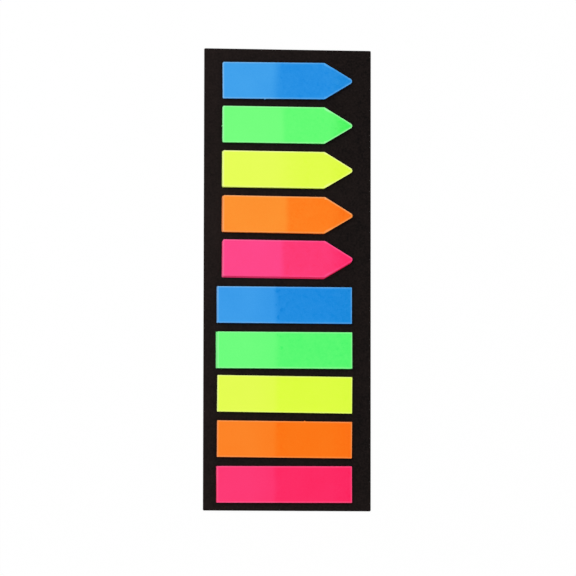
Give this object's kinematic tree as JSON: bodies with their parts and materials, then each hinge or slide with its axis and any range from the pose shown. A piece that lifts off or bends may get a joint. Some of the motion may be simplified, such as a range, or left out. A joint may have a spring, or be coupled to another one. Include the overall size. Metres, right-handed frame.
{
  "type": "sticky index tabs",
  "caption": "Sticky index tabs: pads of thin translucent film tabs, arrow-shaped and straight strips, in bright colours, stuck in one column on a flat black backing card.",
  "frame": {"origin": "middle of the card's back face, on the surface that it lies on", "axes": "+X along the tabs, the way the arrows point; +Y up the card's length, from the last pad to the first; +Z out of the card's front, through the pads"},
  "size_m": [0.0556, 0.153, 0.0017],
  "materials": {
    "card": "matt black card with a fine grain",
    "film_blue": "satin fluorescent blue film, paler where it isn't stuck",
    "film_green": "satin fluorescent green film, paler where it isn't stuck",
    "film_yellow": "satin fluorescent yellow film, paler where it isn't stuck",
    "film_orange": "satin fluorescent orange film, paler where it isn't stuck",
    "film_pink": "satin fluorescent pink film, paler where it isn't stuck"
  },
  "bodies": {
    "root": {"backing_card": "card", "arrow_tabs_blue": "film_blue", "arrow_tabs_green": "film_green", "arrow_tabs_yellow": "film_yellow", "arrow_tabs_orange": "film_orange", "arrow_tabs_pink": "film_pink", "strip_tabs_blue": "film_blue", "strip_tabs_green": "film_green", "strip_tabs_yellow": "film_yellow", "strip_tabs_orange": "film_orange", "strip_tabs_pink": "film_pink"}
  },
  "joints": []
}
